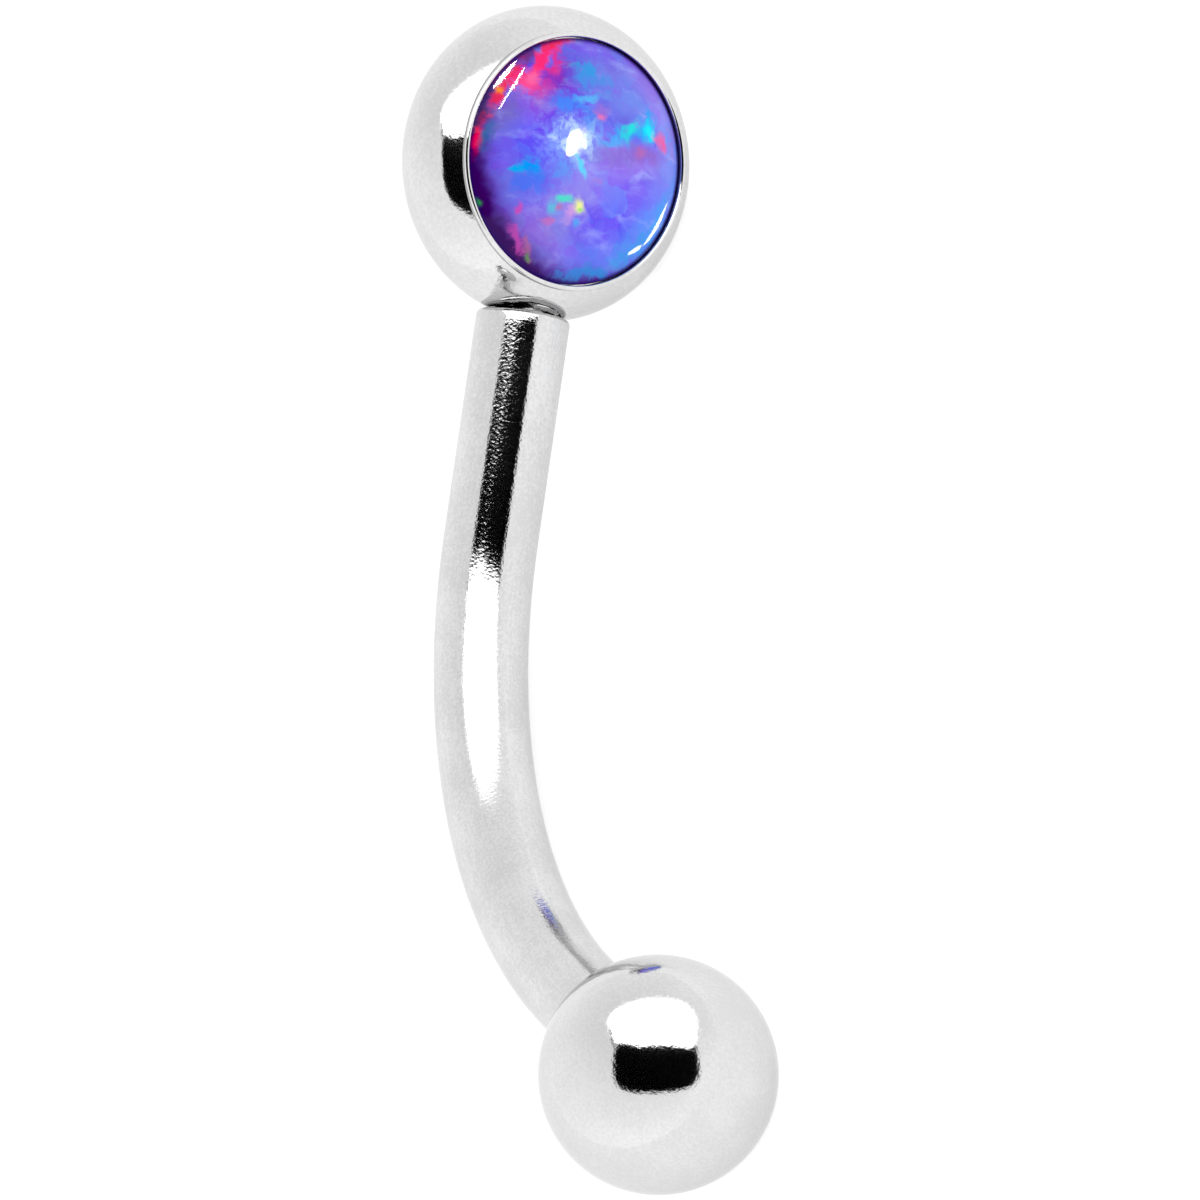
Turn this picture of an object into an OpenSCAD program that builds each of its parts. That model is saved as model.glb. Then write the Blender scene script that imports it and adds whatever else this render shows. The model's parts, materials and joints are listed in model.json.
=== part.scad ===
// Curved eyebrow barbell, lying at rest on a flat surface.
// A bent steel bar carries an opal set in a lentil-shaped end on one post and a plain ball on the other.
// Millimetres. +Z is up from the surface, +X runs from the opal end to the plain ball, and the origin is the
// middle of the object's footprint on the surface.

/* [Bar] */
// Diameter of the bar, 16 gauge
bar_d = 1.2; // [1.0:0.1:1.6]
// Radius of the bend, measured to the middle of the bar
bend_r = 6.5; // [6:0.1:8]
// Angle that the bend turns through, in degrees
bend_angle = 64; // [54:1:70]
// Straight length between the opal end and the bend
opal_side_straight = 2.9; // [2:0.1:3.5]
// Straight length between the bend and the plain ball
ball_side_straight = 1.0; // [0.6:0.05:2]
// Size of the bevel on the edge of each end of the bar
bar_bevel = 0.07; // [0.03:0.01:0.1]

/* [Threaded posts] */
// Outside diameter of the thread
thread_d = 0.9; // [0.8:0.02:0.94]
// Distance from one thread crest to the next
thread_pitch = 0.225; // [0.2:0.005:0.3]
// Depth of the thread
thread_depth = 0.06; // [0.03:0.01:0.08]
// Number of crests on each post
thread_crests = 6; // [4:1:7]
// Clearance round the thread in its hole
thread_clearance = 0.025; // [0.01:0.005:0.04]
// Free depth left in each hole past the end of the post
hole_spare = 0.1; // [0.05:0.01:0.2]
// Width of the sloped edge at the mouth of each hole
mouth_bevel = 0.025; // [0.01:0.005:0.04]
// Gap between each end of the bar and the piece screwed up to it
seat_gap = 0.01; // [0.005:0.005:0.05]

/* [Plain ball] */
// Diameter of the plain ball
ball_d = 3.0; // [2.5:0.1:4]

/* [Opal setting] */
// Diameter of the setting across its edge
setting_d = 4.0; // [3.9:0.05:4.4]
// Radius of the rounded edge that runs round the setting
edge_r = 0.78; // [0.7:0.01:0.82]
// Angle through which the edge rounds towards the back, in degrees
back_turn = 55; // [45:1:65]
// Thickness of the lip round the stone
lip_t = 0.07; // [0.05:0.005:0.1]
// Height of the top of the lip above the middle of the edge
lip_height = 0.735; // [0.72:0.005:0.8]
// Height of the floor of the cup above the middle of the edge
cup_floor = 0.54; // [0.52:0.005:0.6]

/* [Opal] */
// Diameter of the stone
opal_d = 3.11; // [3:0.01:3.2]
// Height of the stone's straight side
girdle_h = 0.11; // [0.08:0.01:0.14]
// Height of the dome above the straight side
dome_h = 0.42; // [0.25:0.01:0.6]
// Gap between the stone and the metal that holds it
stone_gap = 0.012; // [0.008:0.002:0.03]

/* [Hidden] */
$fn = 96;

STEEL = [0.80, 0.81, 0.82];
OPAL = [0.48, 0.42, 0.90];

// Each straight length closes over an end of the bend, and is thicker by two thousandths for that
sleeve_overlap = 0.05;
sleeve_t = 0.002;

bar_r = bar_d / 2;
ball_r = ball_d / 2;
setting_r = setting_d / 2;
opal_r = opal_d / 2;

// Threads, holes and seats
thread_r = thread_d / 2;
root_r = thread_r - thread_depth;
post_h = thread_crests * thread_pitch;
hole_r = thread_r + thread_clearance;
hole_depth = post_h + hole_spare;
mouth_r = hole_r + mouth_bevel;
ball_seat = sqrt(ball_r * ball_r - mouth_r * mouth_r) + seat_gap;
setting_seat = sqrt(setting_r * setting_r - mouth_r * mouth_r) + seat_gap;

// Section of the setting, as distances from its own axis and heights along it. The rounded edge runs from the
// lip to the back, where a shallow dome closes it without a crease.
edge_middle = setting_r - edge_r;
cup_r = opal_r + stone_gap;
lip_outer = cup_r + lip_t;
lip_turn = acos((lip_outer - edge_middle) / edge_r);
back_dome_middle = edge_middle * tan(back_turn);
back_dome_r = edge_r + edge_middle / cos(back_turn);

// Section of the stone
stone_base = cup_floor + stone_gap;
girdle_top = stone_base + girdle_h;
dome_r = (opal_r * opal_r + dome_h * dome_h) / (2 * dome_h);
dome_middle = girdle_top + dome_h - dome_r;
dome_turn = asin(opal_r / dome_r);

// The bar is drawn in the XY plane first. Its end at the opal is at the origin, the straight part leaves along
// +X and the bend turns towards +Y, which is also where the stone faces.
bend_middle = [opal_side_straight, bend_r, 0];
ball_side_way = [cos(bend_angle), sin(bend_angle), 0];
bend_end = bend_middle + bend_r * [sin(bend_angle), -cos(bend_angle), 0];
bar_end = bend_end + ball_side_straight * ball_side_way;
setting_middle = [-setting_seat, 0, 0];
ball_middle = bar_end + ball_seat * ball_side_way;
stone_way = [0, 1, 0];

// How far the setting with its stone reaches from its middle in a direction, where facing is the part of that
// direction that runs along the stone's axis
function setting_reach(facing) =
    facing < -sin(back_turn) ? back_dome_middle * facing + back_dome_r
    : facing < sin(lip_turn) ? edge_middle * sqrt(1 - facing * facing) + edge_r
    : max(lip_reach(facing), facing > cos(dome_turn) ? dome_middle * facing + dome_r : 0);

function lip_reach(facing) =
    (lip_outer - lip_t / 2) * sqrt(1 - facing * facing) + (lip_height - lip_t / 2) * facing + lip_t / 2;

// At rest the object lies on three points: the ball, the setting and the outside of the bend. way is the up
// direction as the drawn object sees it. The setting counts as a ball whose radius is its reach downwards, which
// itself depends on the direction, so the answer is found by going round a few times.
span = norm(ball_middle - setting_middle);
along = (ball_middle - setting_middle) / span;
outward = [along.y, -along.x, 0];
ball_along = (ball_middle - bend_middle) * along;
ball_outward = (ball_middle - bend_middle) * outward;

function up_way(reach) =
    let (a = (ball_r - reach) / span)
    let (k = ball_r - bar_r - a * ball_along)
    let (p = bend_r * bend_r - ball_outward * ball_outward)
    let (q = k * ball_outward)
    let (b = -(q + sqrt(q * q - p * (bend_r * bend_r * a * a - k * k))) / p)
    a * along + b * outward + [0, 0, sqrt(1 - a * a - b * b)];

function settled(reach, rounds) =
    rounds == 0 ? up_way(reach) : settled(setting_reach(-up_way(reach) * stone_way), rounds - 1);

up = settled(setting_r, 12);
ahead = (along - (along * up) * up) / norm(along - (along * up) * up);
aside = cross(up, ahead);

// How far the whole object reaches in a direction, from the drawing's origin
function bend_reach(way) = bend_middle * way + bend_r * norm([way.x, way.y]) + bar_r;

function object_reach(way) = max(
    ball_middle * way + ball_r,
    setting_middle * way + setting_reach(way * stone_way),
    way * outward > 0.2 ? bend_reach(way) : 0
);

middle_ahead = (object_reach(ahead) - object_reach(-ahead)) / 2;
middle_aside = (object_reach(aside) - object_reach(-aside)) / 2;
floor_below = object_reach(-up);

LAID_DOWN = [
    [ahead.x, ahead.y, ahead.z, -middle_ahead],
    [aside.x, aside.y, aside.z, -middle_aside],
    [up.x, up.y, up.z, floor_below],
    [0, 0, 0, 1]
];

module laid_down() {
    multmatrix(LAID_DOWN) children();
}

// Places its children, drawn with the post along +Z from the bar's end, at the opal end of the bar
module at_opal_end() {
    rotate([0, -90, 0]) children();
}

module at_ball_end() {
    translate(bar_end) rotate([0, 90, bend_angle]) children();
}

// Outline of a threaded post that rises from Z = 0, outwards and up from its root. The thread's crests are
// rings, one for each turn.
function thread_outline() = [for (i = [0 : thread_crests - 1]) each [
    [root_r, (i + 0.1) * thread_pitch],
    [thread_r, (i + 0.4) * thread_pitch],
    [thread_r, (i + 0.6) * thread_pitch],
    [root_r, (i + 0.9) * thread_pitch]
]];

// A post whose foot is sunk into the bar's end
module threaded_post() {
    rotate_extrude() polygon(concat(
        [[0, -bar_bevel], [root_r, -bar_bevel]],
        thread_outline(),
        [[root_r, post_h], [0, post_h]]
    ));
}

// A straight end of the bar below Z = 0, with its bevel and its post
module straight_end(length) {
    radius = bar_r + sleeve_t;
    rotate_extrude() polygon([
        [0, -length - sleeve_overlap],
        [radius, -length - sleeve_overlap],
        [radius, -bar_bevel],
        [radius - bar_bevel, 0],
        [0, 0]
    ]);
    threaded_post();
}

// The hole for a threaded post, from its mouth at Z = 0 upwards, with the mouth's sloped edge
module threaded_hole() {
    rotate_extrude() polygon([
        [0, -bar_r],
        [mouth_r + seat_gap + bar_r, -bar_r],
        [hole_r, seat_gap + mouth_bevel],
        [hole_r, hole_depth],
        [0, hole_depth]
    ]);
}

module curved_bar() {
    color(STEEL) laid_down() {
        at_opal_end() straight_end(opal_side_straight);
        translate(bend_middle) rotate([0, 0, -90]) rotate_extrude(angle = bend_angle)
            translate([bend_r, 0]) circle(bar_r);
        at_ball_end() straight_end(ball_side_straight);
    }
}

// Half section of the setting, from its axis outwards
module setting_section() {
    difference() {
        union() {
            translate([edge_middle, 0]) circle(edge_r);
            translate([0, back_dome_middle]) intersection() {
                circle(back_dome_r);
                polygon([[0, 0], [0, -back_dome_r * 1.5], 1.5 * back_dome_r * [cos(back_turn), -sin(back_turn)]]);
            }
            square([edge_middle, cup_floor]);
            translate([edge_middle, 0]) square([lip_outer - edge_middle, lip_height - lip_t / 2]);
            translate([lip_outer - lip_t / 2, lip_height - lip_t / 2]) circle(lip_t / 2);
        }
        translate([0, cup_floor]) square([cup_r, setting_r]);
    }
}

module opal_setting() {
    color(STEEL) laid_down() difference() {
        translate(setting_middle) rotate([-90, 0, 0]) rotate([0, 0, 90]) rotate_extrude() setting_section();
        at_opal_end() threaded_hole();
    }
}

module opal_cabochon() {
    color(OPAL) laid_down() translate(setting_middle) rotate([-90, 0, 0]) rotate_extrude() intersection() {
        translate([0, dome_middle]) circle(dome_r);
        translate([0, stone_base]) square([opal_r, dome_r]);
    }
}

module plain_ball() {
    color(STEEL) laid_down() difference() {
        translate(ball_middle) sphere(ball_r);
        at_ball_end() threaded_hole();
    }
}

curved_bar();
opal_setting();
opal_cabochon();
plain_ball();
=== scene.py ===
"""A curved eyebrow barbell that rests on a pale studio floor.

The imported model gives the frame: the axes of both threads and the middle of the bend. Every piece is
modelled here on that frame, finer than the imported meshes, and dressed in its finish. All lengths are in
metres.
"""

import json
import logging
import math
from collections.abc import Iterable
from dataclasses import dataclass, field
from enum import Enum

import bpy
from mathutils import Matrix, Vector


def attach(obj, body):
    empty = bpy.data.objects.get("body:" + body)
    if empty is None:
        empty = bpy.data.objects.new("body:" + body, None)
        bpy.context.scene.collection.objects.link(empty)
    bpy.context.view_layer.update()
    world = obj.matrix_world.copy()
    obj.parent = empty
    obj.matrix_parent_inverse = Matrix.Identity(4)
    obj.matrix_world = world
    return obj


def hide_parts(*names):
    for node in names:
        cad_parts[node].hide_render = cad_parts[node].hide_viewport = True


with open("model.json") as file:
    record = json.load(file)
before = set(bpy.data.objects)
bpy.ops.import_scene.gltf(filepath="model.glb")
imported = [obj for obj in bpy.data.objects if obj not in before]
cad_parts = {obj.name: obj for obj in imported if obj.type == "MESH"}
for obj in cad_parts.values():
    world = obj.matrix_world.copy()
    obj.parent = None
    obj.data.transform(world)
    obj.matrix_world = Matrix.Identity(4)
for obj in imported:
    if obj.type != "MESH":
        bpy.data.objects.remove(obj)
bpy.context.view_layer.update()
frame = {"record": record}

MM = 0.001
DEGREE = math.radians(1)
PICTURE_SIDE = 1200
SENSOR_WIDTH = 36.0
UNBENT = "unbent"
CREASE = 32 * DEGREE
STONE_CREASE = 50 * DEGREE
MERGE_REACH = 1e-8
PATCH_SCALE = 1100.0
CUT_SOFT = 5 * MM
WHITE = (1.0, 1.0, 1.0, 1.0)
THREAD_PROFILE = ((0.1, False), (0.4, True), (0.6, True), (0.9, False))

log = logging.getLogger("barbell")

Colour = tuple[float, float, float, float]
Outline = list[tuple[float, float]]
ScreenColour = tuple[int, int, int]
Socket = bpy.types.NodeSocket


def linear(red: int, green: int, blue: int) -> Colour:
    """Turn a screen colour into the linear colour that the shaders take.

    Args:
        red: red, from 0 to 255.
        green: green, from 0 to 255.
        blue: blue, from 0 to 255.

    Returns:
        The colour with an alpha of 1.
    """
    shares = [value / 255 for value in (red, green, blue)]
    bent = [share / 12.92 if share <= 0.04045 else ((share + 0.055) / 1.055) ** 2.4 for share in shares]
    return (bent[0], bent[1], bent[2], 1.0)


def arc(middle: tuple[float, float], radius: float, first: float, last: float, steps: int) -> Outline:
    """Points on an arc of a turned outline.

    Args:
        middle: height and radius of the arc's middle.
        radius: radius of the arc.
        first: start, as an angle from straight outwards towards the top.
        last: end, as such an angle.
        steps: number of equal steps from start to end.

    Returns:
        Pairs of height and radius, the start and the end among them.
    """
    turns = [first + (last - first) * step / steps for step in range(steps + 1)]
    return [(middle[0] + radius * math.sin(turn), middle[1] + radius * math.cos(turn)) for turn in turns]


def select_only(piece: bpy.types.Object) -> None:
    """Make a piece the only one selected, and the active one.

    Args:
        piece: the piece.
    """
    bpy.ops.object.select_all(action="DESELECT")
    piece.select_set(True)
    bpy.context.view_layer.objects.active = piece


def aimed(origin: Vector, along: Vector, across: Vector) -> Matrix:
    """A place for a piece.

    Args:
        origin: where the piece's own origin goes.
        along: where its Z axis points.
        across: roughly where its X axis points.

    Returns:
        The matrix that takes the piece there.
    """
    z = along.normalized()
    x = (across - across.dot(z) * z).normalized()
    y = z.cross(x)
    turn = Matrix((x, y, z)).transposed().to_4x4()
    return Matrix.Translation(origin) @ turn


def place(piece: bpy.types.Object, where: Matrix) -> None:
    """Move a piece to its place and apply that to its mesh.

    Args:
        piece: the piece, modelled round its own axis.
        where: its place.
    """
    select_only(piece)
    piece.matrix_world = where
    bpy.ops.object.transform_apply(location=True, rotation=True, scale=True)


def smooth(piece: bpy.types.Object, crease: float = CREASE) -> None:
    """Shade a piece smooth apart from edges sharper than a crease."""
    select_only(piece)
    bpy.ops.object.shade_smooth_by_angle(angle=crease)


class Turned:
    """A round body that is drawn out ring by ring, as on a lathe.

    It starts as a filled circle. Each ring is extruded from the last one, moved along the heading and
    scaled, and a bend spins the ring about a pivot.
    """

    def __init__(self, name: str, start: float, radius: float, segments: int) -> None:
        """Draw the first ring round the Z axis.

        Args:
            name: the piece's name.
            start: height of the ring.
            radius: radius of the ring.
            segments: corners on each ring.
        """
        bpy.ops.object.select_all(action="DESELECT")
        bpy.ops.mesh.primitive_circle_add(
            vertices=segments, radius=radius, fill_type="NGON", location=(0, 0, start)
        )
        self.piece = bpy.context.object
        self.piece.name = name
        self.piece.data.name = name
        bpy.ops.object.transform_apply(location=True, rotation=True, scale=True)
        self.middle = Vector((0, 0, start))
        self.heading = Vector((0, 0, 1))
        self.radius = radius
        bpy.ops.object.mode_set(mode="EDIT")
        bpy.ops.mesh.select_mode(type="EDGE")
        bpy.ops.mesh.select_all(action="SELECT")

    def ring(self, advance: float, radius: float) -> None:
        """Extrude the next ring.

        Args:
            advance: how far it moves along the heading.
            radius: its radius.
        """
        step = self.heading * advance
        bpy.ops.mesh.extrude_region_move(TRANSFORM_OT_translate={"value": step})
        self.middle = self.middle + step
        share = radius / self.radius
        bpy.ops.transform.resize(value=(share, share, share), center_override=self.middle)
        self.radius = radius

    def outline(self, points: Iterable[tuple[float, float]]) -> None:
        """Extrude a ring to each point of an outline, while the heading is still straight up.

        Args:
            points: pairs of height and radius.
        """
        for height, radius in points:
            self.ring(height - self.middle.z, radius)

    def steps(self, points: Iterable[tuple[float, float]]) -> None:
        """Extrude a ring to each point of an outline that is measured along the heading.

        Args:
            points: pairs of distance from the ring that the call starts at, and radius.
        """
        done = 0.0
        for distance, radius in points:
            self.ring(distance - done, radius)
            done = distance

    def bend(self, pivot: Vector, axis: Vector, angle: float, count: int) -> None:
        """Spin the last ring about a pivot. The operator counts its angle the other way round.

        Args:
            pivot: a point on the axis of the bend.
            axis: the way of that axis.
            angle: how far the bend turns.
            count: number of steps.
        """
        bpy.ops.mesh.spin(steps=count, angle=-angle, center=pivot, axis=axis)
        turn = Matrix.Rotation(angle, 3, axis)
        self.middle = pivot + turn @ (self.middle - pivot)
        self.heading = turn @ self.heading

    def close_flat(self) -> None:
        """Fill the last ring with one flat face."""
        bpy.ops.mesh.edge_face_add()

    def close_round(self) -> None:
        """Draw the last ring together into a pole."""
        bpy.ops.mesh.extrude_region_move(TRANSFORM_OT_translate={"value": (0, 0, 0)})
        bpy.ops.mesh.merge(type="CENTER")

    def finish(self) -> bpy.types.Object:
        """Close the edit and turn the faces outwards.

        Returns:
            The finished piece.
        """
        bpy.ops.mesh.select_all(action="SELECT")
        bpy.ops.mesh.remove_doubles(threshold=MERGE_REACH)
        bpy.ops.mesh.normals_make_consistent(inside=False)
        bpy.ops.object.mode_set(mode="OBJECT")
        return self.piece


@dataclass(frozen=True)
class Thread:
    """The thread of both posts, and the holes that they screw into."""

    diameter: float = 0.9 * MM
    pitch: float = 0.225 * MM
    depth: float = 0.06 * MM
    crests: int = 6
    tip_edge: float = 0.06 * MM
    clearance: float = 0.025 * MM
    spare: float = 0.1 * MM
    mouth_bevel: float = 0.025 * MM
    seat_gap: float = 0.01 * MM
    groove_share: float = 0.6
    segments: int = 96

    @property
    def crest_r(self) -> float:
        """Radius of the thread's crests."""
        return self.diameter / 2

    @property
    def root_r(self) -> float:
        """Radius of the thread's roots."""
        return self.crest_r - self.depth

    @property
    def height(self) -> float:
        """Height of a post."""
        return self.crests * self.pitch

    @property
    def hole_r(self) -> float:
        """Radius of a hole."""
        return self.crest_r + self.clearance

    @property
    def mouth_r(self) -> float:
        """Radius of a hole's mouth."""
        return self.hole_r + self.mouth_bevel

    def rings(self, first: int, root: float, crest: float) -> Outline:
        """The outline of a stretch of thread.

        Args:
            first: the crest that it starts with, counted from the bar.
            root: radius between the crests.
            crest: radius at the crests.

        Returns:
            Pairs of height from the bar's end, and radius.
        """
        points = []
        for foot in range(first, self.crests):
            for share, on_crest in THREAD_PROFILE:
                points.append(((foot + share) * self.pitch, crest if on_crest else root))
        return points

    def post_outline(self) -> Outline:
        """A post's outline.

        Returns:
            Pairs of height and radius, from its foot to the flat of its tip.
        """
        edge_start = self.height - self.tip_edge
        rings = [point for point in self.rings(0, self.root_r, self.crest_r) if point[0] < edge_start]
        return [*rings, (edge_start, self.root_r), (self.height, self.root_r - self.tip_edge)]

    def hole_outline(self, outside: float) -> Outline:
        """A hole's outline, with grooves that follow the crests of the post.

        Args:
            outside: how far the sloped mouth is carried on outside the metal.

        Returns:
            Pairs of height from the bar's end and radius, from outside the mouth to the bottom.
        """
        slope_top = self.seat_gap + self.mouth_bevel
        mouth = [(-outside, self.hole_r + slope_top + outside), (slope_top, self.hole_r)]
        grooves = self.rings(1, self.hole_r, self.hole_r + self.groove_share * self.depth)
        return [*mouth, *grooves, (self.height + self.spare, self.hole_r)]


@dataclass(frozen=True)
class BarSizes:
    """The bent bar."""

    diameter: float = 1.2 * MM
    bend_r: float = 6.5 * MM
    bend_angle: float = 64 * DEGREE
    opal_straight: float = 2.9 * MM
    ball_straight: float = 1.0 * MM
    edge: float = 0.07 * MM
    edge_steps: int = 6
    segments: int = 128
    bend_steps: int = 96
    ring_length: float = 0.12 * MM

    @property
    def radius(self) -> float:
        """Radius of the bar."""
        return self.diameter / 2

    def shoulder(self) -> Outline:
        """The rounded edge of an end, as distances out from where it starts, and radii."""
        return arc((0.0, self.radius - self.edge), self.edge, 0, 90 * DEGREE, self.edge_steps)

    def straight(self, length: float) -> Outline:
        """A straight stretch of the bar, as distances and radii."""
        count = round(length / self.ring_length)
        return [(length * step / count, self.radius) for step in range(1, count + 1)]


THREAD = Thread()
BAR = BarSizes()
BALL_R = 1.5 * MM
SETTING_R = 2.0 * MM


@dataclass(frozen=True)
class Layout:
    """Where the drawing of the barbell lies on the floor.

    The drawing has the bar's end at the opal as its origin. The straight stretch leaves along X, and the
    bend turns towards Y, which is also the way that the stone faces.
    """

    opal_way: Vector
    ball_way: Vector
    bend_crest: Vector

    @classmethod
    def from_record(cls, record: dict) -> "Layout":
        """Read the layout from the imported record.

        Args:
            record: the record, of which the two joints and the mount are read.

        Returns:
            The layout.
        """
        joints = {joint["name"]: Vector(joint["axis"]) for joint in record["behaviour"]["joints"]}
        bend_crest = Vector(record["mounts"][0]["pos_m"])
        return cls(joints["opal_end_unscrews"], joints["ball_end_unscrews"], bend_crest)

    @property
    def x(self) -> Vector:
        """The way of the bar's straight stretch, away from the opal."""
        return -self.opal_way.normalized()

    @property
    def y(self) -> Vector:
        """The way that the bend turns and the stone faces."""
        across = self.ball_way - self.ball_way.dot(self.x) * self.x
        return across.normalized()

    @property
    def z(self) -> Vector:
        """The way square to the plane of the bend."""
        return self.x.cross(self.y)

    @property
    def drawing(self) -> Matrix:
        """The place of the drawing.

        Returns:
            The matrix that takes a point of the drawing to the floor's frame.
        """
        half = BAR.bend_angle / 2
        ahead = BAR.opal_straight + BAR.bend_r * math.sin(half)
        aside = BAR.bend_r * (1 - math.cos(half))
        origin = self.bend_crest - ahead * self.x - aside * self.y
        return aimed(origin, self.z, self.x)

    def at(self, x: float, y: float) -> Vector:
        """A point of the drawing's plane, on the floor's frame."""
        return self.drawing @ Vector((x, y, 0))

    @property
    def opal_end(self) -> Matrix:
        """The bar's end at the opal, with the post along Z."""
        return aimed(self.at(0, 0), -self.x, self.y)

    @property
    def ball_end(self) -> Matrix:
        """The bar's end at the ball.

        Returns:
            Its place, with the post along Z.
        """
        way = Vector((math.cos(BAR.bend_angle), math.sin(BAR.bend_angle)))
        ahead = BAR.opal_straight + BAR.bend_r * way.y + BAR.ball_straight * way.x
        aside = BAR.bend_r * (1 - way.x) + BAR.ball_straight * way.y
        return aimed(self.at(ahead, aside), self.ball_way, self.z)

    @property
    def setting(self) -> Matrix:
        """The middle of the setting, with the stone's axis along Z and the bar towards X."""
        seat = math.sqrt(SETTING_R**2 - THREAD.mouth_r**2) + THREAD.seat_gap
        return aimed(self.at(-seat, 0), self.y, self.x)

    @property
    def face(self) -> Matrix:
        """The middle of the setting, with Z out of the stone, and right and up as seen from there."""
        return aimed(self.setting.translation, self.y, -self.z)


@dataclass
class CurvedBar:
    """The bent bar with a threaded post on each end."""

    layout: Layout
    sizes: BarSizes = BAR
    thread: Thread = THREAD

    def model(self) -> bpy.types.Object:
        """Model the bar from one post's tip to the other's, and lay it down.

        Returns:
            The bar.
        """
        shoulder = self.sizes.shoulder()
        edge = self.sizes.edge
        post = self.thread.post_outline()
        tip, tip_r = post[-1]
        body = Turned("bent_bar", 0.0, tip_r, self.sizes.segments)
        body.outline([(tip - height, radius) for height, radius in reversed(post[:-1])])
        body.outline([(tip, self.thread.root_r)])
        body.outline([(tip + edge - height, radius) for height, radius in reversed(shoulder)])
        body.steps(self.sizes.straight(self.sizes.opal_straight - edge))
        pivot = body.middle + Vector((self.sizes.bend_r, 0, 0))
        body.bend(pivot, Vector((0, 1, 0)), self.sizes.bend_angle, self.sizes.bend_steps)
        body.steps(self.sizes.straight(self.sizes.ball_straight - edge))
        body.steps(shoulder[1:])
        body.steps([(0.0, self.thread.root_r), *post])
        body.close_flat()
        piece = body.finish()
        self.tag_unbent(piece, tip)
        to_drawing = Matrix(((0, 0, 1, -tip), (1, 0, 0, 0), (0, 1, 0, 0), (0, 0, 0, 1)))
        place(piece, self.layout.drawing @ to_drawing)
        smooth(piece)
        return piece

    def unbent(self, spot: Vector, start: float) -> tuple[float, float, float]:
        """Where a point would be if the bar were straight.

        Args:
            spot: the point, on the bar that starts along Z and bends towards X.
            start: height at which the bend starts.

        Returns:
            The point with its distance along the bar as its height.
        """
        if spot.z <= start:
            return (spot.x, spot.y, spot.z)
        from_pivot = Vector((spot.z - start, self.sizes.bend_r - spot.x))
        turn = min(math.atan2(from_pivot.x, from_pivot.y), self.sizes.bend_angle)
        out = Vector((math.sin(turn), math.cos(turn)))
        past_bend = from_pivot.dot(Vector((out.y, -out.x)))
        height = start + self.sizes.bend_r * turn + past_bend
        return (self.sizes.bend_r - from_pivot.dot(out), spot.y, height)

    def tag_unbent(self, piece: bpy.types.Object, tip: float) -> None:
        """Write where each corner would be if the bar were straight, for finishes that run along it.

        Args:
            piece: the bar, still on its own axis, with its first post's tip at the origin.
            tip: height of a post.
        """
        start = tip + self.sizes.opal_straight
        values = []
        for vertex in piece.data.vertices:
            values.extend(self.unbent(vertex.co, start))
        layer = piece.data.attributes.new(UNBENT, "FLOAT_VECTOR", "POINT")
        layer.data.foreach_set("vector", values)


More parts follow.
